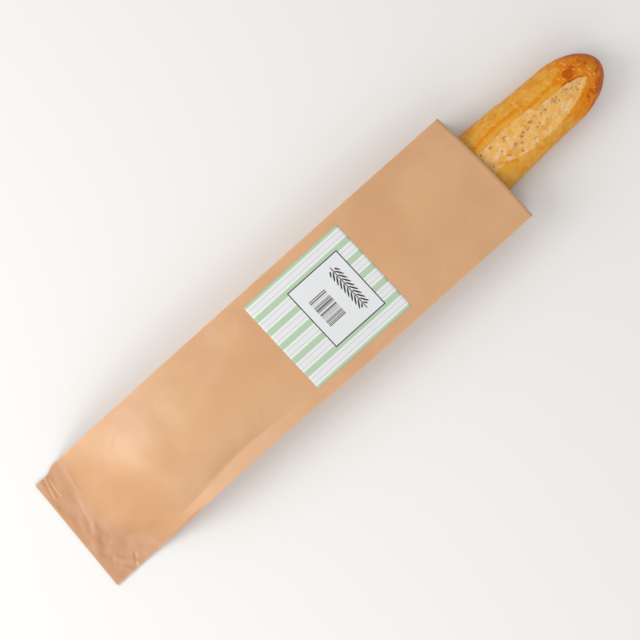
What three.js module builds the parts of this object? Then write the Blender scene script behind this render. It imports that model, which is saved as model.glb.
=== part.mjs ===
// A baguette in its brown paper bag, lying on its back panel.
//
// The bag is a gusseted tube of kraft paper: front and back panels of equal width, joined
// on each side by a pleat that folds inwards, glued flat across the bottom and open at the
// mouth. The loaf lifts the front panel into a tent and sticks out of the mouth. A striped
// label is stuck on the front panel.
//
// Millimetres, +Z up, +X from the bag's bottom towards the mouth, and the origin under the
// centre of the whole, on the surface that it lies on.

import * as THREE from 'three';

// Driving dimensions
const overallLength = 635;
const bagLength = 492;
const bagWidth = 120;
const gussetHalf = 22; // from a side edge to the crease of its pleat
const paper = 0.6; // wall of the bag, thicker than real paper so that it is a sound solid
const sealEnd = 8; // where the front panel starts to rise, from the bottom fold
const solidEnd = 24; // the layers of the glued bottom are one solid up to here
const flapLength = 18; // end of the tube, folded back under the back panel
const flapDrop = 0.8; // how far the flap lifts the back panel
const flapReach = 60; // where the back panel is down again, past the flap
const sealHeight = 2;
const crownHeight = 49.6; // top of the front panel, over the loaf
const heelClimb = 38; // height that the panel gains over the loaf's heel, the rest is slow
const heelEnd = 98; // where that climb ends
const slowFrom = 30;
const slowTo = 160;
const archBulge = 1.85; // 1 for straight sides across the bag, more for fuller ones
const pleatLimit = 0.9; // keeps the pleat of a low section open, as a share of its height
const clearance = 0.35; // between one piece and the next
const bottomSkew = 4.8; // how far the -Y corner of the bottom sticks out past the other
const mouthSkew = 5.6; // the same at the mouth
const skewReach = 60;

const loafLength = 566;
const loafHalfWidth = 33;
const loafTipHalfWidth = 29.1; // the loaf narrows towards the end that shows
const loafNose = 50; // length of the rounded end that shows
const heelNose = 65; // and of the hidden one, which is slimmer
const loafBeam = 18; // height of the loaf's widest line above its base
const loafSquareness = 2 / 3; // 1 for a round underside, less for a flatter one
const endLift = 2; // the round ends curl up by this much
const taperFrom = 44; // the loaf widens between these distances from its tip
const taperTo = 150;
const loafShift = 3.1; // the loaf lies a little to the +Y side of the bag
const earRoom = 2.0; // how far the raised crust beside a slash may stand above the loaf's back

const labelLength = 110;
const labelWidth = 98;
const labelThickness = 0.4;
const labelCentre = new THREE.Vector2(-9.5, 1.3);

const bagEnd = -overallLength / 2 + bottomSkew / 2;
const mouth = bagEnd + bagLength;
const tip = overallLength / 2;
const heel = tip - loafLength;
const edge = bagWidth / 2;
const loafBase = paper + clearance;
const loafTop = crownHeight - paper - clearance - earRoom;

// A curve through a few knots [along, value], level beyond the first and the last
function through(knots) {
  const first = knots[0];
  const last = knots[knots.length - 1];
  return (x) => {
    if (x <= first[0]) return first[1];
    if (x >= last[0]) return last[1];
    const i = knots.findIndex((k) => k[0] > x);
    const [a, b] = [knots[i - 1], knots[i]];
    return THREE.MathUtils.lerp(a[1], b[1], THREE.MathUtils.smoothstep(x, a[0], b[0]));
  };
}

// The bag: heights along it, by the distance s from its bottom end

// The crown lies flat at the bottom fold, climbs over the loaf's heel, then slowly on
function crownAt(s) {
  const climb = heelClimb * THREE.MathUtils.smoothstep(s, sealEnd, heelEnd);
  const rest = crownHeight - sealHeight - heelClimb;
  return sealHeight + climb + rest * THREE.MathUtils.smoothstep(s, slowFrom, slowTo);
}

const edgeRaised = through([
  [12, sealHeight],
  [30, 5],
  [66, 23],
  [115, 36],
  [235, 40],
  [370, 41],
  [bagLength, 34],
]); // +Y edge of the front panel
const edgeLipped = through([
  [12, sealHeight],
  [66, 14],
  [120, 31],
  [240, 40],
  [370, 41],
  [bagLength, 34],
]); // -Y edge
const lipDepth = through([
  [50, 0],
  [95, 1.6],
  [190, 1.6],
  [250, 0],
]); // groove inside the -Y edge
const lipPlace = -46;
const lipWidth = 3.6;

// Height of the front panel's outer face at s, y
function frontPanel(s, y) {
  const side = y > 0 ? edgeRaised(s) : edgeLipped(s);
  const share = Math.min(Math.abs(y) / edge, 1);
  const arch = side + (Math.max(crownAt(s), side) - side) * (1 - share ** archBulge);
  return arch - lipDepth(s) * Math.exp(-(((y - lipPlace) / lipWidth) ** 2));
}

// The two ends aren't square to the sides, and the skew fades out along the bag

function alongAt(s, y) {
  const atMouth = THREE.MathUtils.smoothstep(s, bagLength - skewReach, bagLength);
  const atBottom = 1 - THREE.MathUtils.smoothstep(s, 0, skewReach);
  return bagEnd + s + (y / bagWidth) * (bottomSkew * atBottom - mouthSkew * atMouth);
}

// The +Y corner of the bottom is pinched in, so that a small ear sticks out
const pinch = through([
  [0, 3.8],
  [7, 3.8],
  [12.5, 4.6],
  [26, 0],
]);

// The -Y edge is drawn in a little beside the groove
const drawnIn = through([
  [70, 0],
  [125, 2],
  [225, 2],
  [262, 0.4],
  [310, 0],
]);

const frontSteps = 18;

// One section of the bag at s, as points (y, z) from the -Y bottom corner, anticlockwise
// when seen from the mouth
function bagSection(s) {
  const lifted = 1 - THREE.MathUtils.smoothstep(s, solidEnd, flapReach);
  const base = s < flapLength ? 0 : flapDrop * lifted;
  const left = drawnIn(s) - edge;
  const right = edge - pinch(s);
  const points = [new THREE.Vector2(left, base), new THREE.Vector2(0, base)];
  const crease = (height) =>
    Math.min(Math.sqrt(gussetHalf ** 2 - (height / 2) ** 2), pleatLimit * height);
  const [high, low] = [edgeRaised(s), edgeLipped(s)];
  points.push(new THREE.Vector2(right, base));
  points.push(new THREE.Vector2(right - crease(high - base), (high + base) / 2));
  for (let i = 0; i <= frontSteps; i++) {
    const y = THREE.MathUtils.lerp(right, left, i / frontSteps);
    points.push(new THREE.Vector2(y, frontPanel(s, y)));
  }
  points.push(new THREE.Vector2(left + crease(low - base), (low + base) / 2));
  return points;
}

// The same section moved inwards by the paper's thickness, mitred at its corners
function inset(points, distance) {
  const normal = (a, b) => new THREE.Vector2(a.y - b.y, b.x - a.x).normalize();
  return points.map((p, i) => {
    const before = points[(i + points.length - 1) % points.length];
    const after = points[(i + 1) % points.length];
    const [n, m] = [normal(before, p), normal(p, after)];
    const mitre = n.clone().add(m).normalize();
    return p.clone().addScaledVector(mitre, distance / Math.max(mitre.dot(n), 0.3));
  });
}

// A closed surface from rings of equal count, capped flat across the first and the last
function closedTube(rings) {
  const count = rings[0].length;
  const index = [];
  for (let r = 1; r < rings.length; r++) {
    for (let i = 0; i < count; i++) {
      const j = (i + 1) % count;
      const [a, b] = [(r - 1) * count, r * count];
      index.push(a + i, a + j, b + j, a + i, b + j, b + i);
    }
  }
  const faces = (ring) =>
    THREE.ShapeUtils.triangulateShape(ring.map((p) => new THREE.Vector2(p.y, p.z)), []);
  const last = (rings.length - 1) * count;
  for (const [a, b, c] of faces(rings[0])) index.push(a, c, b);
  for (const [a, b, c] of faces(rings[rings.length - 1])) index.push(last + a, last + b, last + c);
  const geometry = new THREE.BufferGeometry().setFromPoints(rings.flat());
  geometry.setIndex(index);
  geometry.computeVertexNormals();
  return geometry;
}

function steps(from, to, count) {
  return Array.from({ length: count + 1 }, (_, i) => THREE.MathUtils.lerp(from, to, i / count));
}

// Outer rings run from the bottom to the mouth, inner rings back to the solid bottom
function bagGeometry() {
  const stations = [
    0, 4, sealEnd, 12.5, flapLength - 0.1, flapLength + 0.1, solidEnd,
    ...steps(solidEnd, heelEnd, 8).slice(1),
    ...steps(heelEnd, bagLength, 17).slice(1),
  ];
  const ring = (s, points) => points.map((p) => new THREE.Vector3(alongAt(s, p.x), p.x, p.y));
  const outer = stations.map((s) => ring(s, bagSection(s)));
  const inner = stations
    .filter((s) => s >= solidEnd)
    .map((s) => ring(s, inset(bagSection(s), paper)))
    .reverse();
  return closedTube([...outer, ...inner]);
}

// The loaf's slashes, from the tip: a short one, then a row of equal ones a pitch apart
const slashPitch = 98;
const slashes = [
  { from: [301, -1.5], to: [203, -12], halfWidth: 13.2 },
  ...[0, 1, 2, 3].map((i) => ({
    from: [243 - i * slashPitch, 8],
    to: [108 - i * slashPitch, -10],
    halfWidth: 11.8,
  })),
];
const slashDepth = 3.6;
const slashTilt = 0.4; // a slash is deeper towards its ear
const slashPoint = 0.8; // 0.5 for round ends, 1 for pointed ones
const earHeight = 2.2; // the ear: the crust that lifts along one side of a slash
const earPlace = 1.1; // its middle and its spread, as shares of the slash's half width
const earSpread = 0.3;

// Height of the crust's relief at a point seen from above. Where two slashes overlap the
// deeper one counts, and neither ear stands in the other's crumb.
function relief(x, y) {
  let [depth, ear, crumb] = [0, 0, 0];
  for (const { from, to, halfWidth } of slashes) {
    const t = (from[0] - x) / (from[0] - to[0]);
    if (t <= 0 || t >= 1) continue;
    const open = (4 * t * (1 - t)) ** slashPoint;
    const across = (y - THREE.MathUtils.lerp(from[1], to[1], t)) / (halfWidth * open);
    const inside = Math.sqrt(Math.max(1 - across ** 2, 0));
    depth = Math.max(depth, slashDepth * open * inside * (1 - slashTilt + slashTilt * across));
    ear = Math.max(ear, earHeight * open * Math.exp(-(((across - earPlace) / earSpread) ** 2)));
    crumb = Math.max(crumb, inside);
  }
  return ear * (1 - crumb) - depth;
}

// Share of its full section that the loaf has at x, less than 1 in its round ends
function noseShare(x) {
  const reach = Math.min((tip - x) / loafNose, (x - heel) / heelNose);
  return reach >= 1 ? 1 : Math.sqrt(1 - (1 - reach) ** 2);
}

function loafSection(x, angles) {
  const share = noseShare(x);
  const narrow = 1 - THREE.MathUtils.smoothstep(tip - x, taperFrom, taperTo);
  const half = share * THREE.MathUtils.lerp(loafHalfWidth, loafTipHalfWidth, narrow);
  const beam = loafBase + loafBeam + endLift * (1 - share);
  const rise = share * (loafTop - loafBase - loafBeam);
  const fall = share * loafBeam;
  return angles.map((angle) => {
    const [c, s] = [Math.cos(angle), Math.sin(angle)];
    const power = s >= 0 ? 1 : loafSquareness;
    const y = half * Math.sign(c) * Math.abs(c) ** power;
    const z = beam + (s >= 0 ? rise * s : -fall * Math.abs(s) ** power);
    const lift = s > 0 ? relief(x, y) : 0;
    return new THREE.Vector3(x, y + loafShift, z + lift);
  });
}

function loafGeometry() {
  const top = steps(0, Math.PI, 44).slice(0, -1);
  const bottom = steps(Math.PI, 2 * Math.PI, 10).slice(0, -1);
  const angles = [...top, ...bottom];
  const nose = steps(0, 1, 9).slice(1).map((u) => 1 - Math.cos((u * Math.PI) / 2));
  const stations = [
    heel + 0.4,
    ...nose.map((d) => heel + heelNose * d),
    ...steps(heel + heelNose, mouth - 20, 34).slice(1),
    ...steps(mouth - 20, tip - loafNose, 24).slice(1),
    ...nose.slice(0, -1).reverse().map((d) => tip - loafNose * d),
    tip - 0.2,
  ];
  return closedTube(stations.map((x) => loafSection(x, angles)));
}

// The label follows the front panel, a hair above it

function labelGeometry() {
  const across = steps(labelWidth / 2, -labelWidth / 2, 16).map((y) => y + labelCentre.y);
  const rings = steps(-labelLength / 2, labelLength / 2, 8).map((dx) => {
    const x = labelCentre.x + dx;
    const at = (y, lift) => new THREE.Vector3(x, y, frontPanel(x - bagEnd, y) + lift);
    return [
      ...across.map((y) => at(y, clearance + labelThickness)),
      ...across.toReversed().map((y) => at(y, clearance)),
    ];
  });
  return closedTube(rings);
}

// The pieces

function piece(name, geometry, color, roughness) {
  const material = new THREE.MeshStandardMaterial({ color, roughness, metalness: 0 });
  const mesh = new THREE.Mesh(geometry, material);
  mesh.name = name;
  return mesh;
}

const baggedBaguette = new THREE.Group();
baggedBaguette.add(piece('baguette', loafGeometry(), 0xd5973f, 0.55));
baggedBaguette.add(piece('paper_bag', bagGeometry(), 0xd7a374, 0.7));
baggedBaguette.add(piece('label', labelGeometry(), 0xe4e7e4, 0.45));

export default baggedBaguette;
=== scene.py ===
# %% [markdown]
# # A baguette in its paper bag
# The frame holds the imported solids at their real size, so that every piece made here lands
# where it belongs. We load it first and note the box that the solids fill. Shapes are
# measured in millimetres, and turned into metres only when a mesh is finished. The floor and
# the lamps are set in metres.

# %% Load the frame
import math

import bmesh
import bpy
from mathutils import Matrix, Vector, noise


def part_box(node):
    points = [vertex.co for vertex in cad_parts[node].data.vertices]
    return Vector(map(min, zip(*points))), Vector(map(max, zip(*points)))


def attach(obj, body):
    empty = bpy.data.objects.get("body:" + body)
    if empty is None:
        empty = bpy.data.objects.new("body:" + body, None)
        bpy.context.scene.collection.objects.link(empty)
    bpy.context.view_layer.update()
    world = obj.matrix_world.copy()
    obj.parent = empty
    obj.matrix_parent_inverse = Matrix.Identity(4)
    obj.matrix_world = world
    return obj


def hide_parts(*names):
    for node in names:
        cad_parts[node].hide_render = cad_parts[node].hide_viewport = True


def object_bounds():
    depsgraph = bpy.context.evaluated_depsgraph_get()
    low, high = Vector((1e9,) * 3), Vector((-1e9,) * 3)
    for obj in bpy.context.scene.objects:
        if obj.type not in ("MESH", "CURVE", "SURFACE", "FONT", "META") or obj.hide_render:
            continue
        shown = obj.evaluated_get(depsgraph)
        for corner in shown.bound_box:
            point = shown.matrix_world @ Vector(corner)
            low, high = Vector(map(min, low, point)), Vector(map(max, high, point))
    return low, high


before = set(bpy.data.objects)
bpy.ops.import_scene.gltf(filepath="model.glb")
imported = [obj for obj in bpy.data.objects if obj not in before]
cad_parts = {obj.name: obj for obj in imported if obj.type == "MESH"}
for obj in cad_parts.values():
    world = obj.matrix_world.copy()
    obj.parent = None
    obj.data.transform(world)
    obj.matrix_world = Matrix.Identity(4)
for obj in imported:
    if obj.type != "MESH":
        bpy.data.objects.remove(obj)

MM = 0.001
solid_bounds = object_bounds()
lowest, highest = (tuple(value / MM for value in corner) for corner in solid_bounds)
bag_box, loaf_box, label_box = (
    [Vector(corner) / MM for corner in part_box(node)] for node in ("paper_bag", "baguette", "label")
)
print("solids reach from", lowest, "to", highest)

# %% [markdown]
# ## The camera
# The photo looks straight down, so the camera hangs above the bag and is only turned about
# the vertical. A long lens far away keeps the sides of the bag nearly parallel. Its lens
# follows from the width of floor that the picture takes in.

# %% Hang the camera
PHOTO_TURN = math.radians(-41.83)
CAMERA_PLACE = (-22.2, -3.6, 1850.0)
FLOOR_IN_VIEW = 577.3

camera = bpy.data.objects.new("camera", bpy.data.cameras.new("camera"))
bpy.context.collection.objects.link(camera)
camera.location = [value * MM for value in CAMERA_PLACE]
camera.rotation_euler = (0, 0, PHOTO_TURN)
camera.data.lens = camera.data.sensor_width * CAMERA_PLACE[2] / FLOOR_IN_VIEW
bpy.context.scene.camera = camera
print("lens", round(camera.data.lens, 1), "mm")

# %% [markdown]
# ## Shader maths that reads like arithmetic
# Blender adds one Math node for every sum and product. Wrapping a socket in a small class
# with operators lets us write `1 - mask * 0.5`, and the nodes appear by themselves. Any other
# node comes from one method, which sets the node's own options first and its sockets next.

# %% Wrap sockets and materials
class Signal:
    """A number on its way through a material's nodes."""

    def __init__(self, finish, socket):
        self.finish = finish
        self.socket = socket

    def math(self, operation, *others):
        """The result of a Math node fed with this signal and the others."""
        values = dict(enumerate((self, *others)))
        return self.finish.node("ShaderNodeMath", {"operation": operation}, values)

    def __add__(self, other):
        return self.math("ADD", other)

    def __sub__(self, other):
        return self.math("SUBTRACT", other)

    def __mul__(self, other):
        return self.math("MULTIPLY", other)

    def __truediv__(self, other):
        return self.math("DIVIDE", other)

    def __rsub__(self, other):
        return (self * -1).math("ADD", other)

    __radd__ = __add__

    def __abs__(self):
        return self.math("ABSOLUTE")

    def rise(self, start, end):
        """0 up to start, 1 from end, and a soft step between."""
        settings = {"interpolation_type": "SMOOTHSTEP"}
        values = {"Value": self, "From Min": start, "From Max": end}
        return self.finish.node("ShaderNodeMapRange", settings, values)

    def larger(self, other):
        return self.math("MAXIMUM", other)


class Finish:
    """A material, and the ways to add nodes to it."""

    def __init__(self, name):
        self.material = bpy.data.materials.new(name)
        self.material.use_nodes = True
        self.tree = self.material.node_tree
        self.shader = self.tree.nodes["Principled BSDF"]

    def node(self, kind, settings=None, values=None, output=0):
        """Add a node, and return one of its outputs as a signal."""
        node = self.tree.nodes.new(kind)
        for name, value in (settings or {}).items():
            setattr(node, name, value)
        for socket, value in (values or {}).items():
            self.feed(node.inputs[socket], value)
        return Signal(self, node.outputs[output])

    def feed(self, socket, value):
        """Link a signal to a socket, or set the socket's own value."""
        if isinstance(value, Signal):
            self.tree.links.new(value.socket, socket)
        else:
            socket.default_value = value

    def mix(self, first, second, factor):
        """The first colour where factor is 0, and the second where it is 1."""
        settings = {"data_type": "RGBA"}
        return self.node("ShaderNodeMix", settings, {0: factor, 6: first, 7: second}, 2)

    def attribute(self, name):
        """A mask that is stored with the points."""
        return self.node("ShaderNodeAttribute", {"attribute_name": name}, output=2)

    def place(self, stretch=(1, 1, 1)):
        """The point on the piece, in millimetres, divided by stretch along each axis."""
        where = self.node("ShaderNodeTexCoord", output=3)
        scale = [1 / MM / value for value in stretch]
        return self.node("ShaderNodeMapping", values={"Vector": where, "Scale": scale})

    def speckle(self, size, detail=2.0, stretch=(1, 1, 1)):
        """Cloudy noise between 0 and 1 whose features are about size across."""
        values = {"Vector": self.place(stretch), "Scale": 1 / size, "Detail": detail}
        return self.node("ShaderNodeTexNoise", values=values)

    def surface(self, color, roughness, height, distance):
        """Send the colour, the roughness and a relief of so many millimetres to the shader."""
        self.feed(self.shader.inputs["Base Color"], color)
        self.feed(self.shader.inputs["Roughness"], roughness)
        values = {"Height": height, "Distance": distance * MM, "Strength": 1.0}
        bump = self.node("ShaderNodeBump", values=values)
        self.feed(self.shader.inputs["Normal"], bump)


def paint(red, green, blue):
    """A screen colour from 0 to 255 as the linear colour that Blender works with."""
    def linear(value):
        value /= 255
        return value / 12.92 if value <= 0.04045 else ((value + 0.055) / 1.055) ** 2.4
    return (linear(red), linear(green), linear(blue), 1.0)


print("golden crust is", [round(value, 3) for value in paint(213, 154, 67)])

# %% [markdown]
# ## From a bmesh to a piece
# Every piece ends the same way: its millimetres become metres, its object sits at the
# origin, it rides on the body, stands in for its solid, which is hidden, and takes its finish.

# %% Finish a piece
def steps(start, end, count):
    """Evenly spaced values from start to end, with count gaps between them."""
    return [start + (end - start) * index / count for index in range(count + 1)]


def blend(start, end, share):
    """The value that lies a share of the way from start to end."""
    return start + (end - start) * share


def smoothstep(value, start, end):
    """0 up to start, 1 from end, and a soft step between."""
    share = min(max((value - start) / (end - start), 0.0), 1.0)
    return share * share * (3 - 2 * share)


def bell(value, middle, spread):
    """1 at the middle, fading to both sides."""
    return math.exp(-(((value - middle) / spread) ** 2))


def through(*knots):
    """A smooth curve through a few knots (along, value), level beyond the first and the last."""
    slopes = [0.0]
    for before, after in zip(knots, knots[2:]):
        slopes.append((after[1] - before[1]) / (after[0] - before[0]))
    slopes.append(0.0)

    def curve(along):
        if along <= knots[0][0]:
            return knots[0][1]
        for index, (end, high) in enumerate(knots[1:]):
            if along < end:
                start, low = knots[index]
                t = (along - start) / (end - start)
                leaving = slopes[index] * (end - start) * t * (1 - t) ** 2
                arriving = slopes[index + 1] * (end - start) * t * t * (t - 1)
                return blend(low, high, smoothstep(t, 0, 1)) + leaving + arriving
        return knots[-1][1]
    return curve


def make_piece(name, shape, finish, node, sharp_angle):
    """Turn a shape in millimetres into a piece that stands for a node. Edges sharper than
    the angle, in degrees, stay sharp."""
    bmesh.ops.scale(shape, vec=(MM, MM, MM), verts=shape.verts)
    mesh = bpy.data.meshes.new(name)
    shape.to_mesh(mesh)
    shape.free()
    mesh.materials.append(finish.material)
    mesh.shade_smooth()
    mesh.set_sharp_from_angle(angle=math.radians(sharp_angle))
    piece = bpy.data.objects.new(name, mesh)
    bpy.context.collection.objects.link(piece)
    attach(piece, "root")
    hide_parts(node)
    print(name, "has", len(mesh.polygons), "faces")
    return piece


def add_thickness(piece, thickness):
    """Thicken a sheet on the side that its faces point to."""
    wall = piece.modifiers.new("thickness", "SOLIDIFY")
    wall.thickness = thickness * MM
    wall.offset = 1

# %% [markdown]
# ## The loaf: its long form
# A baguette is a long roll with a flat base, widest low down and domed above, with blunt
# round ends. We start from a sphere, whose poles close the two ends, and move each of its
# points to a place on the loaf: the latitude gives the place along, the longitude the
# place around. More of the latitudes go to the end that shows, and CROWDING draws more of
# the longitudes to the top. Below its beam, the widest height, the section is squarer.

# %% Measure the loaf
LOAF_TIP = highest[0]
LOAF_HEEL = loaf_box[0].x
MOUTH = bag_box[1].x
LOAF_BASE = loaf_box[0].z
LOAF_BEAM = 18.0
LOAF_RISE = 27.7
LOAF_SHIFT = 3.1
NOSE, HEEL_NOSE = 50.0, 65.0
NOSE_LIFT = 2.0
BASE_POWER = 2 / 3
SHOWN = 158.0
CROWDING = 0.4

half_width = through((44, 29.1), (150, 33.0))


def loaf_station(latitude):
    """Distance from the tip for a latitude between 0 and 1."""
    length = LOAF_TIP - LOAF_HEEL
    nose_end, shown_end, heel_start = 0.28, 0.7, 0.94
    if latitude < nose_end:
        return NOSE * (1 - math.cos(latitude / nose_end * math.pi / 2))
    if latitude < shown_end:
        return blend(NOSE, SHOWN, (latitude - nose_end) / (shown_end - nose_end))
    if latitude < heel_start:
        return blend(SHOWN, length - HEEL_NOSE, (latitude - shown_end) / (heel_start - shown_end))
    return length - HEEL_NOSE * (1 - math.cos((1 - latitude) / (1 - heel_start) * math.pi / 2))


def nose_share(from_tip):
    """How much of its full section the loaf has, which shrinks in its two round ends."""
    reach = min(from_tip / NOSE, (LOAF_TIP - LOAF_HEEL - from_tip) / HEEL_NOSE)
    return 1.0 if reach >= 1 else math.sqrt(max(1 - (1 - reach) ** 2, 0))


print("the loaf is", round(LOAF_TIP - LOAF_HEEL), "mm long and shows", round(LOAF_TIP - MOUTH))

# %% [markdown]
# ## The loaf: its slashes
# Before baking, the baker cuts the dough along slanting lines that overlap by a third. The
# cuts open into long pointed shapes of pale crumb. On one side the crust lifts into an ear,
# burnt along its edge, where painted shade also marks its overhang above the crumb, golden
# behind it, and with an orange fold where it leaves the loaf.
# Each slash is a lens between two ends here, and one function tells how far from its centre
# line a point lies.

# %% Describe the slashes
class Slash:
    """A slash between two ends (x, y). A higher point makes its ends sharper, its ear is burnt
    beyond burnt_from, and pitted tells how pitted its crumb is, from 0 to 1."""

    def __init__(self, start, end, half, point, burnt_from, pitted):
        self.start = start
        self.end = end
        self.half = half
        self.point = point
        self.burnt_from = burnt_from
        self.pitted = pitted

    def along(self, x):
        return (self.start[0] - x) / (self.start[0] - self.end[0])

    def opening(self, x):
        """How wide the slash is open at x, as a share of its greatest width."""
        share = self.along(x)
        return (4 * share * (1 - share)) ** self.point if 0 < share < 1 else 0.0

    def across(self, x, y):
        """Distance in millimetres from the slash's centre line, positive towards its ear."""
        return y - blend(self.start[1], self.end[1], self.along(x))


SLASH_PITCH = 98.0
slashes = [Slash((296, -3.6), (194, -11.5), 12.2, 0.7, 266, 1.0)]
for index in range(4):
    shift = index * SLASH_PITCH
    slashes.append(Slash((241 - shift, 7.5), (100 - shift, -16.5), 12.0, 0.8, 400, 0.3))
print(len(slashes), "slashes along the loaf")

# %% [markdown]
# ## The loaf: crumb, crust and ears
# The relief is a sum of small heights. Inside a slash the crumb is sunken, rough and
# pitted, outside it the crust is smooth with blisters, and the ear stands along the slash.
# The same sums give masks, which are stored with the points, so that the finish can colour
# crumb, ear and edge exactly where the relief has them.

# %% Work out the slashes' relief
SLASH_DEPTH = 2.4
EAR_HEIGHT = 1.4
EAR_WIDTH = 6.0
EDGE_LINE = 1.0
FOLD_LINE = 1.8
MERGE = 3.0
COARSE_WOBBLE, FINE_WOBBLE = 1.3, 0.8
EAR_SLOPE = 0.55 * EAR_WIDTH
INNER_SLOPE = 0.7
EAR_CREST = 0.95 * EAR_WIDTH
EDGE_PLACE = 0.4
BURNT_FADE = 12.0
PITS_INSIDE, PITS_SPREAD = 4.5, 3.2
SCORCH_BEYOND, SCORCH_SPREAD = 6.5, 5.5
NO_RELIEF = (0, (0, 0, 0, 0), (0, 0))


def slash_relief(x, y):
    """Height above the plain loaf, the masks crumb, ear, edge and fold, then pits and scorch."""
    wobble = COARSE_WOBBLE * noise.noise(Vector((x / 13, y / 6, 0.2)))
    wobble += FINE_WOBBLE * noise.noise(Vector((x / 4, y / 3, 5.1)))
    nearness = 1e-6
    height = ear = edge = fold = pits = scorch = 0.0
    for slash in slashes:
        opening = slash.opening(x)
        if opening == 0:
            continue
        across = slash.across(x, y) + wobble * opening ** 0.3
        half = slash.half * opening
        beyond = across - half
        nearness += math.exp((half - abs(across)) / MERGE)
        strong = min(opening * 2, 1)
        slope = EAR_SLOPE if beyond > 0 else INNER_SLOPE
        height = max(height, EAR_HEIGHT * strong * bell(beyond, 0, slope))
        burnt = smoothstep(x, slash.burnt_from, slash.burnt_from + BURNT_FADE)
        behind = smoothstep(beyond, 0, 0.8) * (1 - smoothstep(beyond, EAR_WIDTH * 0.6, EAR_WIDTH))
        ear = max(ear, behind * strong * (1 - burnt))
        # The edge line is burnt crust and painted shade under the ear's overhang.
        edge = max(edge, burnt * strong * bell(beyond, EDGE_PLACE, EDGE_LINE))
        fold = max(fold, strong * (1 - burnt) * bell(beyond, EAR_CREST, FOLD_LINE))
        pits = max(pits, slash.pitted * strong * bell(beyond, -PITS_INSIDE, PITS_SPREAD))
        scorch = max(scorch, burnt * strong * bell(beyond, SCORCH_BEYOND, SCORCH_SPREAD))
    reach = MERGE * math.log(nearness)
    crumb = smoothstep(reach, -0.8, 1.0)
    depth = SLASH_DEPTH * (0.45 * crumb + 0.55 * smoothstep(reach, 0, 6))
    shown = 1 - crumb
    masks = (crumb, ear * shown, edge * (1 - 0.7 * crumb), fold * shown)
    return height * shown - depth, masks, (pits, scorch)


print("relief at the loaf's crown:", [round(slash_relief(240, y)[0], 2) for y in (-10, 0, 10)])

# %% [markdown]
# ## The loaf: pores and blisters
# Scattered points give each pore and blister a middle, and a number of its own for its
# size. The largest pores sit where the photo shows them, each with its x, y and radius.
# The pores are painted dark as shade in their holes, and the two widest show only a painted
# shadow on their side towards the ear. The blisters' outlines are bent by vector noise,
# which starts from the clock unless it has a seed, so it gets one.

# %% Work out the small relief
PORE_SPACING = 2.6
BLISTER_SPACING = 3.6
BLISTER_SEED = 1
RIM_ONLY_FROM = 1.2
BIG_PORES = (
    (190.7, 6.0, 1.7),
    (206.1, 5.0, 1.6),
    (208.8, -6.3, 1.0),
    (226.8, -15.1, 0.9),
    (182, -9, 0.9),
    (189, -11, 0.8),
    (198, -9.5, 0.8),
    (260.7, -3.1, 0.8),
    (274.6, -0.6, 0.8),
)
noise.seed_set(BLISTER_SEED)


def cell_distance(point, size):
    """Distance from the nearest scattered point, as a share of size, and a number of its own."""
    distances, points = noise.voronoi(point / size)
    return distances[0], noise.noise(points[0] * 7.7)


def crumb_texture(point, pits):
    """Pits and lumps of the crumb, and a mask of its pores."""
    rough = 0.5 * noise.fractal(Vector((point.x / 6, point.y / 4, point.z / 5)), 0.8, 2.0, 3)
    nearest, chance = cell_distance(Vector((point.x / 1.3, point.y, point.z)), PORE_SPACING)
    nearest += 0.12 * noise.noise(point / 0.7)
    size = blend(0.12, 0.5, smoothstep(chance + 0.35 * pits, 0.0, 0.5))
    open_here = smoothstep(chance + 0.4 * pits, 0.36, 0.46)
    # Pores and the marks of the pitted band are painted dark as shade in the crumb's holes.
    pore = 0.85 * open_here * (1 - smoothstep(nearest, size * 0.3, size))
    marks = noise.fractal(Vector((point.x / 3, point.y / 1.5, 3.3)), 0.6, 2.0, 3)
    pore = max(pore, 0.5 * smoothstep(marks, 0.05, 0.45) * smoothstep(pits, 0.35, 0.85))
    for x, y, radius in BIG_PORES:
        away = math.hypot(point.x - x, (point.y - y) * 1.2) / radius
        away += 0.3 * noise.noise(point / 1.1)
        # A wide pore gets a painted shadow on its side towards the ear, a smaller one painted shade
        # all over.
        ring = bell(away, 0.7, 0.4) * smoothstep(point.y - y, -radius, radius * 0.4)
        hole = 1 - smoothstep(away, 0.4, 1)
        pore = max(pore, 0.9 * (ring if radius > RIM_ONLY_FROM else hole))
    return rough - 0.9 * pore, pore


def crust_texture(point, from_tip):
    """Dimples of the crust, and a mask of its blisters, which gather at the tip."""
    bent = point + noise.noise_vector(point / 2.2) * 1.1
    nearest, chance = cell_distance(bent, BLISTER_SPACING)
    tipward = 1 - smoothstep(from_tip, 14, 52)
    size = blend(0.12, 0.5, smoothstep(chance, -0.35, 0.35))
    blister = 1 - smoothstep(nearest, 0.04, size)
    blister *= smoothstep(chance + 0.5 * tipward, 0.36, 0.52)
    swell = 0.35 * noise.noise(point / 16) + 0.25 * noise.noise(point / 5)
    return swell + 0.3 * blister, blister


deepest = min(crumb_texture(Vector((x, 0, 40)), 1)[0] for x in range(180, 300))
print("a pore's depth:", round(deepest, 2))

# %% Shape the loaf
MASKS = ("crumb", "ear", "edge", "fold", "pore", "blister", "bake", "rim")
LONGITUDES, LATITUDES = 230, 400


def baking(from_tip, y, up, scorch):
    """How dark the crust bakes: at the tip, low down, on one flank and beside a burnt edge."""
    tip = 0.85 * (1 - smoothstep(from_tip, 10, 62))
    low = 0.4 * (1 - smoothstep(up, -0.6, 0.0))
    flank = 0.35 * (1 - smoothstep(from_tip, 38, 75)) * smoothstep(-y, 8, 18)
    return tip + low + flank + 0.62 * scorch


shape = bmesh.new()
bmesh.ops.create_uvsphere(shape, u_segments=LONGITUDES, v_segments=LATITUDES, radius=1)
layers = [shape.verts.layers.float.new(name) for name in MASKS]

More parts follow.
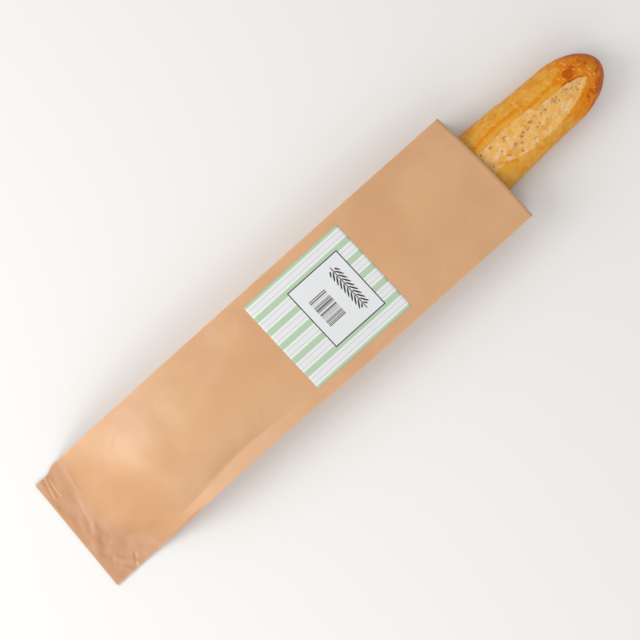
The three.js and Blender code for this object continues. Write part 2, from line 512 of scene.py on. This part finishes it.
for vertex in shape.verts:
    latitude = math.acos(min(max(vertex.co.z, -1), 1)) / math.pi
    turn = math.atan2(vertex.co.y, vertex.co.x)
    angle = turn + CROWDING * math.cos(turn)
    from_tip = loaf_station(latitude)
    x = LOAF_TIP - from_tip
    share = nose_share(from_tip)
    up, side = math.sin(angle), math.cos(angle)
    power = 1 if up >= 0 else BASE_POWER
    y = share * half_width(from_tip) * math.copysign(abs(side) ** power, side)
    rise = share * (LOAF_RISE if up >= 0 else LOAF_BEAM)
    middle = LOAF_BASE + LOAF_BEAM + NOSE_LIFT * (1 - share)
    point = Vector((x, y, middle + rise * math.copysign(abs(up) ** power, up)))
    height, slash_masks, (pits, scorch) = slash_relief(x, y) if up > 0.1 else NO_RELIEF
    crumb = slash_masks[0]
    crumb_height, pore = crumb_texture(point, pits)
    crust_height, blister = crust_texture(point, from_tip)
    lift = height + blend(crust_height, crumb_height, crumb) * smoothstep(up, -0.75, 0.1)
    outward = Vector((0, side, max(up, 0))).normalized()
    vertex.co = point + outward * lift + Vector((0, LOAF_SHIFT, 0))
    bake = baking(from_tip, y, up, scorch)
    rim = (1 - smoothstep(from_tip, 6, 44)) * (1 - smoothstep(up * share, 0.2, 0.75))
    values = (*slash_masks, pore * crumb, blister * (1 - crumb), bake, rim)
    for layer, value in zip(layers, values):
        vertex[layer] = value

bmesh.ops.recalc_face_normals(shape, faces=shape.faces)
print("the loaf has", len(shape.verts), "points")

# %% [markdown]
# ## The finish of the crust
# A baked crust goes from yellow through orange to brown as it gets hotter, so the tip and
# the burnt edges are darkest, and painted shade darkens the ear's edge where it overhangs
# the crumb. Cloudy noise in several sizes breaks the colour up. The crumb is creamy with
# pinkish white patches, and its pores are painted dark brown as shade in their holes. The
# crust has a soft shine, which the crumb lacks.

# %% Mix the colours of the crust
crust = Finish("baked crust")
clouds = crust.speckle(15, 3)
mottle = crust.speckle(5.0, 4)
blotch = crust.speckle(9, 3)
grain = crust.speckle(1.5, 3)
dust = crust.speckle(2.6, 2)

gold = crust.mix(paint(212, 151, 54), paint(206, 134, 30), clouds.rise(0.42, 0.62))
gold = crust.mix(gold, paint(219, 166, 86), mottle.rise(0.5, 0.7) * 0.7)
gold = crust.mix(gold, paint(204, 124, 8), (1 - mottle).rise(0.54, 0.7) * 0.6)
heat = crust.attribute("bake") * (1 + (blotch - 0.5) * 3.2 + (mottle - 0.5) * 1.8)
baked = crust.mix(gold, paint(212, 122, 4), heat.rise(0.15, 0.6))
baked = crust.mix(baked, paint(172, 72, 2), heat.rise(0.8, 1.3) * 0.85)
rim = crust.attribute("rim") + (mottle - 0.5) * 0.4
baked = crust.mix(baked, paint(168, 80, 26), rim.rise(0.05, 0.7) * 0.8)
baked = crust.mix(baked, paint(216, 152, 44), crust.attribute("ear") * 0.65)
baked = crust.mix(baked, paint(206, 120, 0), crust.attribute("fold") * 0.85)
blistered = crust.attribute("blister") * (0.7 - rim.rise(0, 0.6) * 0.5)
baked = crust.mix(baked, paint(238, 186, 112), blistered)
# Burnt edge of the ear, darkened further as painted shade under its overhang.
baked = crust.mix(baked, paint(150, 60, 6), crust.attribute("edge").rise(0.1, 0.9) * 0.9)
baked = crust.mix(baked, paint(234, 184, 110), dust.rise(0.6, 0.74) * 0.4)
baked = crust.mix(baked, paint(188, 112, 20), (1 - grain).rise(0.58, 0.74) * 0.4)
print("crust colours mixed")

# %% Mix the colours of the crumb and send both to the shader
patches = crust.speckle(6, 4, (1.2, 1, 1))
cream = crust.mix(paint(221, 171, 95), paint(217, 158, 74), clouds.rise(0.46, 0.6))
crumb_color = crust.mix(cream, paint(225, 187, 141), patches.rise(0.46, 0.68) * 0.85)
crumb_color = crust.mix(crumb_color, paint(238, 206, 160), dust.rise(0.58, 0.74) * 0.3)
crumb_color = crust.mix(crumb_color, paint(180, 128, 68), (1 - grain).rise(0.58, 0.76) * 0.4)
# Painted shade in the crumb's pores.
crumb_color = crust.mix(crumb_color, paint(120, 64, 30), crust.attribute("pore") * 0.85)
ragged = (crust.attribute("crumb") + (grain - 0.5) * 0.6).rise(0.25, 0.8)
crust.surface(
    crust.mix(baked, crumb_color, ragged),
    ragged * 0.3 + 0.45 + grain * 0.1,
    grain * 0.7 + mottle * 1.2 + crust.speckle(0.8, 2) * (ragged * 0.8 + 0.2),
    0.4,
)
crust.shader.inputs["Specular IOR Level"].default_value = 0.1
make_piece("crusty_loaf", shape, crust, "baguette", 180)

# %% [markdown]
# ## The bag: the height of its front panel
# The bag is a flattened tube of paper. The loaf lifts its front panel into a tent: flat
# over the loaf, sloping to the side edges, and coming down to the glued bottom. Along part
# of its low side it sinks into a shallow groove and turns up to the edge as a lip. These
# curves give the height at any place, by s, the distance from the bottom end.

# %% Describe the bag
BAG_LENGTH = 492.0
EDGE = bag_box[1].y
CROWN = bag_box[1].z
GUSSET_HALF = 22.0
SEAL_TOP = 2.2
SEAL_END = 4.0
HEEL_CLIMB, HEEL_END = 38.0, 98.0
SLOW_FROM, SLOW_TO = 30.0, 160.0
BOTTOM_SKEW, MOUTH_SKEW, SKEW_REACH = 4.8, 5.6, 60.0
BAG_END = bag_box[0].x + BOTTOM_SKEW / 2
RISE_START, HIGH_CORNER, LOW_CORNER = 17.0, 13.0, 24.0
ARCH_POWER = 1.85
GROOVE_POWER = 2.4
LIP_DEPTH = 0.7

# How high the edge of the high side stands, and that of the low side, which has the lip.
edge_raised = through(
    (12, SEAL_TOP), (32, 3.5), (60, 17), (100, 30),
    (150, 37.5), (235, 40), (370, 41), (BAG_LENGTH, 34),
)
edge_lipped = through(
    (12, SEAL_TOP), (48, 4), (72, 14), (100, 29),
    (130, 37), (235, 40), (370, 41), (BAG_LENGTH, 38),
)
# How strongly the lip shows, from 0 to 1, and where across the bag its groove lies.
lip_shown = through((75, 0), (105, 0.7), (140, 1), (185, 1), (215, 0.6), (250, 0))
lip_place = through((90, -49), (165, -43.5), (230, -47))


def rise_start(y):
    """Where the front panel starts to rise: later at the two corners, which lie flat."""
    return RISE_START + HIGH_CORNER * smoothstep(y, 0, 45) + LOW_CORNER * smoothstep(-y, 10, 50)


def crown_at(s, y):
    """Height of the panel where the loaf lifts it, and its climb from the glued bottom."""
    start = rise_start(y)
    share = min(max((s - start) / (HEEL_END - start), 0), 1)
    ramp = blend(smoothstep(share, 0, 1), math.sin(share * math.pi / 2), smoothstep(y, -10, 40))
    rest = CROWN - SEAL_TOP - HEEL_CLIMB
    return SEAL_TOP + HEEL_CLIMB * ramp + rest * smoothstep(s, SLOW_FROM, SLOW_TO)


def lipped_height(s, y, crown):
    """The front panel where its low side sinks into a groove and turns up to the edge."""
    place = lip_place(s)
    valley = edge_lipped(s) - LIP_DEPTH
    if y < place:
        return valley + LIP_DEPTH * smoothstep(place - y, -4, EDGE + place)
    return valley + (crown - valley) * (1 - abs(y / place) ** GROOVE_POWER)


def front_height(s, y):
    """Height of the front panel before it is creased."""
    side = edge_raised(s) if y > 0 else edge_lipped(s)
    share = min(abs(y) / EDGE, 1)
    crown = max(crown_at(s, y), side)
    arch = side + (crown - side) * (1 - share ** ARCH_POWER)
    if y >= 0 or lip_shown(s) == 0:
        return arch
    return blend(arch, lipped_height(s, y, crown), lip_shown(s))


heights = [round(front_height(200, y), 1) for y in (-60, -30, 0, 30, 60)]
print("front panel 200 mm from the bottom:", heights)

# %% [markdown]
# ## The bag: creases in the paper
# A crease here is a straight stretch on the front panel, sharp or soft, that fades to both
# sides and towards its ends. The ones that the photo shows are listed, and a few faint ones
# are spread by noise, which is the same in every run. Near the glued bottom the paper is
# crumpled. Painted shade darkens the valleys of the deeper creases, and the colour is
# painted darker towards the glued bottom.

# %% Crease the front panel
class Crease:
    """A crease between two ends (s, y), with its height, or depth below 0, and half its width."""

    def __init__(self, start, end, height, width, soft=True):
        self.start = Vector(start)
        self.run = Vector(end) - self.start
        self.height = height
        self.width = width
        self.soft = soft

    def lift(self, s, y):
        """How far the crease lifts the paper at a place."""
        offset = Vector((s, y)) - self.start
        share = offset.dot(self.run) / self.run.length_squared
        if not 0 < share < 1:
            return 0.0
        near = max(1 - abs(offset.cross(self.run)) / self.run.length / self.width, 0)
        if self.soft:
            return self.height * math.sin(math.pi * share) ** 1.5 * smoothstep(near, 0, 1)
        return self.height * math.sin(math.pi * share) ** 0.5 * near


seen_creases = [
    Crease((14.0, 62), (6.5, 34), 0.9, 2.2, False),
    Crease((11.5, 62), (5, 34), -0.6, 1.6, False),
    Crease((12, -40), (28, -56), 1.3, 5.0, False),
    Crease((22, -61), (31, -48), -0.9, 2.4, False),
    Crease((9, -44), (20, -60), 0.8, 3.0, False),
    Crease((60, -61), (108, -59), -2.2, 2.6, False),
    Crease((46, 18), (70, 38), -0.9, 8.0),
    Crease((34, -24), (70, 6), -0.8, 9.0),
    Crease((18, -4), (60, 30), 0.7, 12.0),
    Crease((6, -34), (32, -6), -0.8, 7.0),
    Crease((10, -20), (26, 8), 0.7, 5.0),
    Crease((44, -54), (78, -32), -1.0, 9.0),
    Crease((60, 42), (112, 20), -0.6, 12.0),
    Crease((118, 30), (150, 8), -0.5, 12.0),
    Crease((382, 20), (416, -16), 0.7, 9.0),
    Crease((398, 34), (432, 4), -0.6, 9.0),
    Crease((392, -8), (440, -34), 0.5, 8.0),
]


def unit_draw(index, salt):
    """A number between 0 and 1 that is the same in every run."""
    return noise.noise(Vector((index * 1.71 + 0.31, salt * 3.17 + 0.77, 0.5))) * 0.5 + 0.5


FAINT_COUNT = 16
FAINT_HEIGHT = 0.35
faint_creases = []
for index in range(FAINT_COUNT):
    s = blend(30, 480, unit_draw(index, 1) * 1.6 - 0.3)
    y = blend(-55, 55, unit_draw(index, 2) * 1.6 - 0.3)
    turn = math.tau * unit_draw(index, 3)
    reach = blend(12, 34, unit_draw(index, 4))
    end = (s + reach * math.cos(turn), y + reach * math.sin(turn))
    height = blend(-FAINT_HEIGHT, FAINT_HEIGHT, index % 2)
    width = blend(3, 7, unit_draw(index, 5))
    faint_creases.append(Crease((s, y), end, height, width))

LABEL_LOW, LABEL_HIGH = label_box
LONG_WAVE, SHORT_WAVE = 0.8, 0.35
CRUMPLE = 0.55
FLARE = 0.3


def off_label(s, y):
    """1 away from the label, 0 on it, where the stiffer paper stays smooth."""
    x = s + BAG_END
    outside_x = max(LABEL_LOW.x - x, x - LABEL_HIGH.x)
    outside_y = max(LABEL_LOW.y - y, y - LABEL_HIGH.y)
    return smoothstep(max(outside_x, outside_y), 0, 12)


def crease_height(s, y):
    """Lift by creases, waves and crumples. It sinks the paper no further than it has room."""
    total = sum(crease.lift(s, y) for crease in seen_creases + faint_creases)
    total += LONG_WAVE * noise.noise(Vector((s / 55, y / 38, 2.0)))
    total += SHORT_WAVE * noise.noise(Vector((s / 21, y / 16, 7.0)))
    total += CRUMPLE * noise.noise(Vector((s / 8, y / 13, 4.0))) * (1 - smoothstep(s, 22, 50))
    under_loaf_top = smoothstep(CROWN - front_height(s, y), -0.5, 3.0)
    lift = total * off_label(s, y) * under_loaf_top * smoothstep(s, 1, 7)
    room = 0.15 + 0.5 * smoothstep(EDGE - abs(y), 14, 30) + 2 * smoothstep(s, 20, 60)
    flare = FLARE * smoothstep(s, BAG_LENGTH - 30, BAG_LENGTH)
    return max(lift, -room) + flare


def crease_shade(s, y):
    """How much darker the paper is painted, from 0 to 1: painted shade in a valley between folds,
    and darker towards the glued bottom.
    """
    # Painted shade in the valleys of the deeper creases.
    valley = smoothstep(-sum(crease.lift(s, y) for crease in seen_creases), 0.9, 2.2)
    fading = 28 - 14 * smoothstep(y, 10, 45) + 16 * smoothstep(-y, 20, 50)
    # The colour is painted darker towards the glued bottom, reaching further up on the low side.
    layers = 1 - smoothstep(s, rise_start(y) - 2, rise_start(y) + fading)
    patchy = 0.75 + 0.3 * noise.noise(Vector((s / 7, y / 12, 9.0)))
    return max(valley * 0.8, layers * patchy)


def lip_highlight(s, y):
    """How strongly a painted highlight lightens the lip beside the groove, from 0 to 1."""
    return 0.9 * lip_shown(s) * smoothstep(lip_place(s) - y, -1, 3) if y < 0 else 0


print(len(seen_creases) + len(faint_creases), "creases")

# %% [markdown]
# ## The bag: folding one sheet
# A bag maker folds a single sheet: front panel, a pleat on each side that folds inwards,
# and a back panel closed by a glued overlap. The bottom is flattened and folded under. We
# do the same with one flat grid, whose columns are shared out among the panels and whose
# rows follow each other along the bag, and place each point by its panel and its row. The
# rows lie closest near the bottom, where the paper is crumpled.

# %% Share out the columns and rows
PANELS = (
    ("back_low", 8),
    ("under_low", 8),
    ("over_low", 8),
    ("front", 116),
    ("over_high", 8),
    ("under_high", 8),
    ("back_high", 10),
)
columns = [("back_low", 0.0)]
for panel, count in PANELS:
    columns += [(panel, (index + 1) / count) for index in range(count)]

FLAP = 18.0
BEND = 1.0
rows = steps(-FLAP, -BEND, 6) + steps(-BEND, BEND, 6)[1:] + steps(BEND, SEAL_END, 3)[1:]
rows += steps(SEAL_END, 48, 62)[1:] + steps(48, 120, 48)[1:] + steps(120, BAG_LENGTH, 106)[1:]
print(len(columns), "columns and", len(rows), "rows")

# %% Fold the sheet
SEAM_OVERLAP = 12.0
SEAM_STEP = 0.3
BACK_HEIGHT = 0.45
STACK_MIDDLE = 1.2
FLAP_DROP = 0.9
WEAR_AND_HIGHLIGHT_COLUMNS = 1.5
PAPER = 0.12

# How far the high side is pinched in at the bottom, and the low side drawn in by the groove.
pinch = through((0, 3.8), (7, 3.8), (12.5, 4.6), (26, 0))
drawn_in = through((70, 0), (125, 2), (225, 2), (262, 0.4), (310, 0))


def crease_inset(height):
    """How far a pleat of fixed width folds in when its two edges are height apart."""
    return math.sqrt(max(GUSSET_HALF ** 2 - (height / 2) ** 2, 0))


def tube_point(s, panel, share):
    """Place across and height of a point of the tube at s from the bottom fold."""
    back = BACK_HEIGHT + FLAP_DROP * (1 - smoothstep(s, 24, 60))
    high_side, low_side = EDGE - pinch(s), drawn_in(s) - EDGE
    if panel == "front":
        y = blend(low_side, high_side, share)
        return y, front_height(s, y) + crease_height(s, y)
    if panel == "back_low":
        return blend(-SEAM_OVERLAP, low_side, share), back
    if panel == "back_high":
        y = blend(high_side, 0, share)
        return y, back - SEAM_STEP * (1 - smoothstep(y, 0, 4))
    low = panel.endswith("low")
    side = low_side if low else high_side
    top = (edge_lipped if low else edge_raised)(s)
    top += crease_height(s, side)
    inward = crease_inset(top - back) * (1 if low else -1)
    wave = noise.noise(Vector((s / 34, side, 0.3))) * smoothstep(s, 20, 90)
    crease = (side + inward + wave, (top + back) / 2)
    ends = {
        "under_low": ((side, back), crease),
        "over_low": (crease, (side, top)),
        "over_high": ((side, top), crease),
        "under_high": (crease, (side, back)),
    }
    start, end = ends[panel]
    return blend(start[0], end[0], share), blend(start[1], end[1], share)


def skew(s, y):
    """How far a point is shifted along the bag, because neither end is cut square."""
    at_mouth = smoothstep(s, BAG_LENGTH - SKEW_REACH, BAG_LENGTH)
    at_bottom = 1 - smoothstep(s, 0, SKEW_REACH)
    return y / (2 * EDGE) * (BOTTOM_SKEW * at_bottom - MOUTH_SKEW * at_mouth)


def sheet_point(s, panel, share):
    """Place of a point of the sheet, with the flap turned under at the bottom."""
    y, z = tube_point(max(s, BEND), panel, share)
    x = abs(s)
    if s < BEND:
        radius = z - STACK_MIDDLE
        turn = math.pi / 2 * max(s / BEND, -1)
        z = STACK_MIDDLE + radius * math.sin(turn)
        bent = abs(radius) * (1 - math.cos(turn))
        x = max(x, bent) if s <= -BEND else bent
    return Vector((BAG_END + x + skew(x, y), y, z))


sheet = bmesh.new()
bmesh.ops.create_grid(sheet, x_segments=len(rows) - 1, y_segments=len(columns) - 1, size=1)
fold = sheet.verts.layers.float.new("fold")
shade = sheet.verts.layers.float.new("shade")
for vertex in sheet.verts:
    row = round((vertex.co.x + 1) / 2 * (len(rows) - 1))
    column = round((vertex.co.y + 1) / 2 * (len(columns) - 1))
    panel, share = columns[column]
    vertex.co = sheet_point(rows[row], panel, share)
    at_fold = min(share, 1 - share) * dict(PANELS)[panel]
    # Folds between panels are painted paler: rubbed wear and a painted highlight.
    vertex[fold] = max(1 - at_fold / WEAR_AND_HIGHLIGHT_COLUMNS, 0) if "back" not in panel else 0
    if panel == "front":
        y = blend(-EDGE, EDGE, share)
        # The lip beside the groove gets a painted highlight in the same mask.
        vertex[fold] = max(vertex[fold], lip_highlight(rows[row], y))
        vertex[shade] = crease_shade(rows[row], y)
print("the sheet has", len(sheet.faces), "faces")

# %% [markdown]
# ## The finish of the paper
# Brown kraft paper is warm in tone, with a faint sheen. Its fibres lie mostly along the
# bag and show as fine streaks, with darker and paler flecks. Folds are paler, rubbed and
# with a painted highlight, and the lip beside the groove has a painted highlight. Valleys
# between folds have painted shade, and the paper is painted darker towards the glued
# bottom. The streaks are noise stretched along the bag.

# %% Mix the paper's finish
kraft = Finish("kraft paper")
fibres = kraft.speckle(0.5, 3, (14, 1, 1))
flecks = kraft.speckle(1.3, 2, (3, 1, 1))
tone = kraft.speckle(60, 2)
ribs = kraft.speckle(0.9, 1, (60, 1, 1))
paper_color = kraft.mix(paint(190, 136, 84), paint(196, 144, 92), tone.rise(0.35, 0.65))
paper_color = kraft.mix(paper_color, paint(174, 120, 76), fibres.rise(0.52, 0.8) * 0.35)
paper_color = kraft.mix(paper_color, paint(214, 172, 130), flecks.rise(0.62, 0.8) * 0.3)
# Paler at folds, from wear and a painted highlight, and a painted highlight on the lip.
paper_color = kraft.mix(paper_color, paint(214, 172, 132), kraft.attribute("fold") * 0.3)
# Painted shade in crease valleys, and a darker colour painted towards the glued bottom.
paper_color = kraft.mix(paper_color, paint(146, 80, 22), kraft.attribute("shade") * 0.5)
kraft.surface(
    paper_color,
    0.44 + fibres * 0.1,
    fibres * 0.4 + ribs * 0.35 + kraft.speckle(9, 3) * 1.2,
    0.16,
)
kraft.shader.inputs["Specular IOR Level"].default_value = 1.0
kraft.shader.inputs["IOR"].default_value = 1.6
bag = make_piece("kraft_bag", sheet, kraft, "paper_bag", 40)
add_thickness(bag, PAPER)

# %% [markdown]
# ## The label: a sheet on a sheet
# The label is stuck to the front panel, so it takes that panel's shape. A grid moved onto
# the panel's own height does that exactly. It leans a little, as in the photo. Its map of
# places, one for each corner of each face, runs from 0 to 1 along and across, and the print
# is drawn on that map.

# %% Lay the label
LABEL_LIFT = 0.13
LABEL_LEAN = 1.9
LABEL_TRIM = 0.9
LABEL_PAPER = 0.14
LABEL_LENGTH = LABEL_HIGH.x - LABEL_LOW.x
LABEL_WIDTH = LABEL_HIGH.y - LABEL_LOW.y - LABEL_TRIM

sticker = bmesh.new()
bmesh.ops.create_grid(sticker, x_segments=48, y_segments=72, size=0.5)
print_map = sticker.loops.layers.uv.new("print")
for face in sticker.faces:
    for corner in face.loops:
        corner[print_map].uv = (corner.vert.co.x + 0.5, corner.vert.co.y + 0.5)
for vertex in sticker.verts:
    x = blend(LABEL_LOW.x, LABEL_HIGH.x, vertex.co.x + 0.5) - LABEL_LEAN * vertex.co.y
    y = blend(LABEL_LOW.y, LABEL_HIGH.y - LABEL_TRIM, vertex.co.y + 0.5)
    s = x - BAG_END
    vertex.co = (x, y, front_height(s, y) + crease_height(s, y) + LABEL_LIFT)
print("the label is", round(LABEL_LENGTH), "by", round(LABEL_WIDTH), "mm")

# %% [markdown]
# ## The label: stripes, panel, bars and an ear of wheat
# The print is made of simple fields. Places on the map become millimetres, and each field
# is a distance compared with a size: a stripe is "near the nearest stripe's centre", a box
# is "within half its length and half its width". The bars are random blacks and whites in
# narrow columns, and the ear of wheat repeats one slanting grain in cells along a stem.

# %% Draw fields
STRIPE_PITCH = 16.2
STRIPE_HALF = 2.8
LINE_FROM_GAP = 2.5
LINE_HALF = 0.3
SOFT = 0.12

ink = Finish("printed label")
spot = ink.node("ShaderNodeUVMap", {"uv_map": "print"})
axes = ink.node("ShaderNodeSeparateXYZ", values={0: spot})
along = axes * LABEL_LENGTH
across = (Signal(ink, axes.socket.node.outputs[1]) - 0.5) * LABEL_WIDTH


def within(distance, size):
    """1 where distance is under size, 0 beyond, with a hair of softness."""
    return (size - distance).rise(-SOFT, SOFT)


def field(along_low, along_high, across_low, across_high):
    """A box on the label, in millimetres from its lower edge and from its middle."""
    middle, half = (along_low + along_high) / 2, (along_high - along_low) / 2
    centre, reach = (across_low + across_high) / 2, (across_high - across_low) / 2
    return within(abs(along - middle), half) * within(abs(across - centre), reach)


to_stripe = abs(across.math("PINGPONG", STRIPE_PITCH / 2))
green = within(to_stripe, STRIPE_HALF)
from_gap = STRIPE_PITCH / 2 - to_stripe
line = within(abs(from_gap - LINE_FROM_GAP), LINE_HALF)
gap = within(from_gap, LINE_FROM_GAP)
print_color = ink.mix(paint(210, 216, 208), paint(211, 209, 214), gap)
print_color = ink.mix(print_color, paint(172, 178, 176), line * 0.8)
print_color = ink.mix(print_color, paint(165, 186, 161), green)

# %% Draw the panel and its bars
PANEL = (36.4, 94.5, -32.0, 32.0)
FRAME_LINE = 1.0
BARS = (45.0, 63.4, -15.3, 14.0)
BAR = 0.35
WHITE_SHARE = 0.46

outer = field(*PANEL)
inset = (FRAME_LINE, -FRAME_LINE, FRAME_LINE, -FRAME_LINE)
inner = field(*(side + line_width for side, line_width in zip(PANEL, inset)))
print_color = ink.mix(print_color, paint(34, 38, 36), outer)
print_color = ink.mix(print_color, paint(209, 210, 212), inner)

column = (across / BAR).math("FLOOR")
draw = ink.node("ShaderNodeTexWhiteNoise", {"noise_dimensions": "1D"}, {"W": column})
bars = field(*BARS) * draw.math("GREATER_THAN", WHITE_SHARE)
print_color = ink.mix(print_color, paint(62, 58, 60), bars * 0.85)

# %% Draw the ear of wheat
STEM = 80.0
STEM_HALF = 0.45
STEM_PAST_EAR = 3.0
EAR_REACH = 21.0
GRAIN_HALF_WIDTH, GRAIN_HALF_LENGTH = 1.25, 2.9
CELL = 4.6
CELL_SLANT = 0.9
GRAIN_AWAY = 3.1
GRAIN_TURN = math.radians(34)

sideways = abs(along - STEM)
in_cell = (across + sideways * CELL_SLANT).math("WRAP", CELL / 2, -CELL / 2)
lean = in_cell * math.cos(GRAIN_TURN) + (sideways - GRAIN_AWAY) * math.sin(GRAIN_TURN)
slant = (sideways - GRAIN_AWAY) * math.cos(GRAIN_TURN) - in_cell * math.sin(GRAIN_TURN)
short_way = (lean / GRAIN_HALF_WIDTH).math("POWER", 2)
long_way = (slant / GRAIN_HALF_LENGTH).math("POWER", 2)
grains = within(short_way + long_way, 1.0) * within(abs(across), EAR_REACH)
stem = within(sideways, STEM_HALF) * within(abs(across), EAR_REACH + STEM_PAST_EAR)
print_color = ink.mix(print_color, paint(50, 52, 50), grains.larger(stem) * inner)
ink.surface(print_color, 0.4 + ink.speckle(3, 2) * 0.08, ink.speckle(5, 3), 0.05)
ink.shader.inputs["Specular IOR Level"].default_value = 0.4
label = make_piece("striped_label", sticker, ink, "label", 40)
add_thickness(label, LABEL_PAPER)

# %% [markdown]
# ## Floor and light
# A pale floor, two large soft lamps beyond the bag's bottom, and an even light from
# everywhere give gentle shading with only soft shadows. The lamps are nearest to the bag's
# bottom half, so that half is brighter, and its slopes reflect them.

# %% Lay the floor
FLOOR_REACH = 4

floor_shape = bmesh.new()
bmesh.ops.create_grid(floor_shape, x_segments=1, y_segments=1, size=FLOOR_REACH)
floor_mesh = bpy.data.meshes.new("floor")
floor_shape.to_mesh(floor_mesh)
floor_shape.free()
pale = Finish("pale floor")
pale.shader.inputs["Base Color"].default_value = paint(222, 221, 219)
pale.shader.inputs["Roughness"].default_value = 0.9
floor_mesh.materials.append(pale.material)
floor = bpy.data.objects.new("floor", floor_mesh)
bpy.context.collection.objects.link(floor)

# %% Set the lights
LAMP_COLOR = (1.0, 0.99, 0.97)
EVEN_LIGHT = 0.81


def soft_light(name, place, size, power):
    """A square lamp at a place in metres, turned towards the middle of the object."""
    lamp = bpy.data.lights.new(name, "AREA")
    lamp.size = size
    lamp.energy = power
    lamp.color = LAMP_COLOR
    light = bpy.data.objects.new(name, lamp)
    bpy.context.collection.objects.link(light)
    light.location = place
    light.rotation_euler = (-Vector(place)).to_track_quat("-Z", "Y").to_euler()
    print(name, "light", round(Vector(place).length, 2), "m away")


soft_light("key", (-0.93, 0.6, 0.93), 1.0, 10.7)
soft_light("fill", (-0.6, -0.8, 0.9), 0.9, 3.5)
world = bpy.data.worlds.new("studio")
bpy.context.scene.world = world
world.use_nodes = True
backdrop = world.node_tree.nodes["Background"]
backdrop.inputs["Color"].default_value = (1.0, 1.0, 1.0, 1.0)
backdrop.inputs["Strength"].default_value = EVEN_LIGHT
bpy.context.scene.view_settings.view_transform = "Standard"
